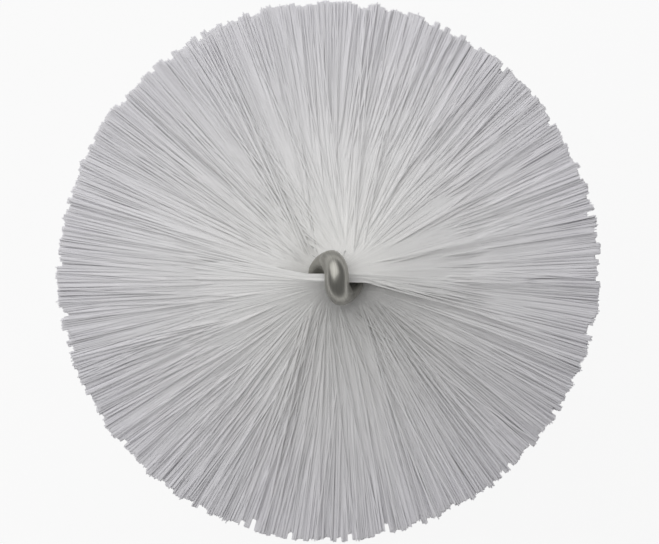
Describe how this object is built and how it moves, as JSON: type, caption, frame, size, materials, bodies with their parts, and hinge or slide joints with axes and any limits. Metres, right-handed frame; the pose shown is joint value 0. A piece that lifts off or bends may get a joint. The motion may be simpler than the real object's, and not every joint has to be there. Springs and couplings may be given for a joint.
{
  "type": "pipe brush",
  "caption": "Round pipe brush head: straight bristles in a twisted wire stem, with a screw-on socket for a handle.",
  "frame": {"origin": "centre of the handle socket's flat rim, on which the brush stands", "axes": "+Z along the stem to the folded tip of the wire, +Y in the plane of the fold, +X along the cross pin"},
  "size_m": [0.0898, 0.09, 0.1823],
  "materials": {
    "wire_steel": "drawn stainless wire, satin",
    "polyester": "white translucent filament, soft gloss",
    "turned_steel": "turned stainless steel, satin",
    "moulded_plastic": "white moulded plastic, fine satin"
  },
  "bodies": {
    "root": {"core_wire": "wire_steel", "bristle_fan_01": "polyester", "bristle_fan_02": "polyester", "bristle_fan_03": "polyester", "bristle_fan_04": "polyester", "bristle_fan_05": "polyester", "bristle_fan_06": "polyester", "bristle_fan_07": "polyester", "bristle_fan_08": "polyester", "bristle_fan_09": "polyester", "bristle_fan_10": "polyester", "stem_ferrule": "turned_steel", "cross_pin": "turned_steel", "handle_socket": "moulded_plastic"}
  },
  "joints": []
}
